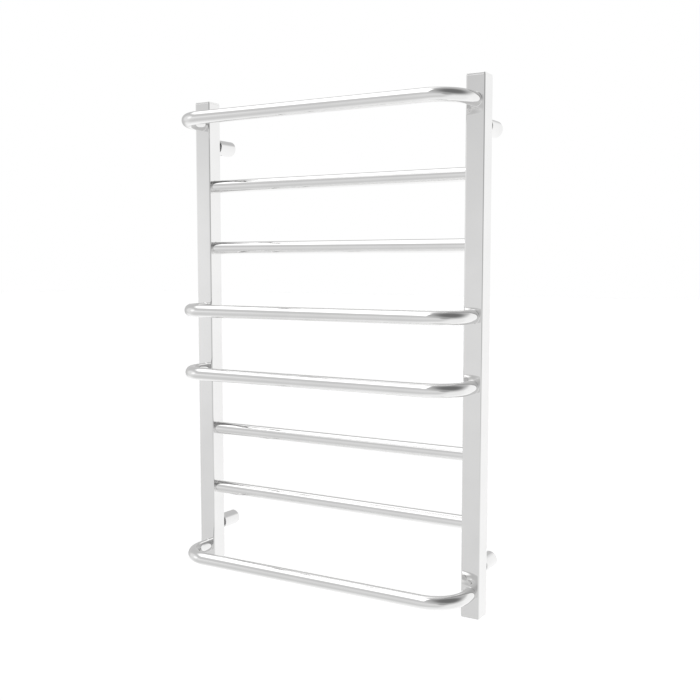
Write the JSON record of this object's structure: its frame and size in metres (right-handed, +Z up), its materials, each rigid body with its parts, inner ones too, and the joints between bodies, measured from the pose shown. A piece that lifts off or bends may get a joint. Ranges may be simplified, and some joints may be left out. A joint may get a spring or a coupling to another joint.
{
  "type": "towel warmer rack",
  "caption": "Wall-hung ladder towel warmer: square uprights joined by straight rails and by bow rails that stand out in front, held off the wall on round posts.",
  "frame": {"origin": "centre of the four wall posts, on the wall plane", "axes": "+Z up, +X to the right for someone facing the rack, +Y into the wall; the bow rails stand out towards -Y"},
  "size_m": [0.53, 0.1531, 0.803],
  "materials": {
    "polished_steel": "mirror-polished stainless steel",
    "chrome": "bright chrome plating",
    "turned_steel": "turned stainless steel with fine tool marks",
    "brass": "machined brass, slightly dulled",
    "silicone": "matt silicone insulation",
    "pvc": "matt lead insulation",
    "black_rubber": "moulded matt rubber",
    "ceramic": "unglazed off-white ceramic",
    "phenolic": "moulded dark phenolic with a dull gloss"
  },
  "bodies": {
    "wall_side": {"wall_base_lower_left": "turned_steel", "wall_base_lower_right": "turned_steel", "wall_base_upper_left": "turned_steel", "wall_base_upper_right": "turned_steel", "wall_sleeve_lower_left": "chrome", "wall_sleeve_lower_right": "chrome", "wall_sleeve_upper_left": "chrome", "wall_sleeve_upper_right": "chrome", "supply_grommet": "black_rubber"},
    "rack": {"upright_left": "polished_steel", "upright_right": "polished_steel", "end_cap_top_left": "polished_steel", "end_cap_top_right": "polished_steel", "end_cap_bottom_left": "polished_steel", "end_cap_bottom_right": "polished_steel", "bow_rail_1": "polished_steel", "bow_rail_2": "polished_steel", "bow_rail_3": "polished_steel", "bow_rail_4": "polished_steel", "straight_rail_1": "polished_steel", "straight_rail_2": "polished_steel", "straight_rail_3": "polished_steel", "straight_rail_4": "polished_steel", "rack_spigot_lower_left": "chrome", "rack_spigot_lower_right": "chrome", "rack_spigot_upper_left": "chrome", "rack_spigot_upper_right": "chrome", "heating_cable": "silicone", "thermal_cutout": "phenolic", "return_lead": "pvc", "terminal_block": "ceramic", "terminal_screw_live": "brass", "terminal_screw_neutral": "brass", "earth_stud": "brass", "earth_tag": "brass", "earth_nut": "brass"},
    "grub_lower_left": {"grub_screw_lower_left": "turned_steel"},
    "grub_lower_right": {"grub_screw_lower_right": "turned_steel"},
    "grub_upper_left": {"grub_screw_upper_left": "turned_steel"},
    "grub_upper_right": {"grub_screw_upper_right": "turned_steel"}
  },
  "joints": [
    {"name": "rack_depth_slide", "type": "slide", "parent": "wall_side", "child": "rack", "axis": [0, 1, 0], "range_m": [-0.019, 0.0065]},
    {"name": "grub_lower_left_back_off", "type": "slide", "parent": "wall_side", "child": "grub_lower_left", "axis": [0, 0, -1], "range_m": [0, 0.0025]},
    {"name": "grub_lower_right_back_off", "type": "slide", "parent": "wall_side", "child": "grub_lower_right", "axis": [0, 0, -1], "range_m": [0, 0.0025]},
    {"name": "grub_upper_left_back_off", "type": "slide", "parent": "wall_side", "child": "grub_upper_left", "axis": [0, 0, -1], "range_m": [0, 0.0025]},
    {"name": "grub_upper_right_back_off", "type": "slide", "parent": "wall_side", "child": "grub_upper_right", "axis": [0, 0, -1], "range_m": [0, 0.0025]}
  ]
}
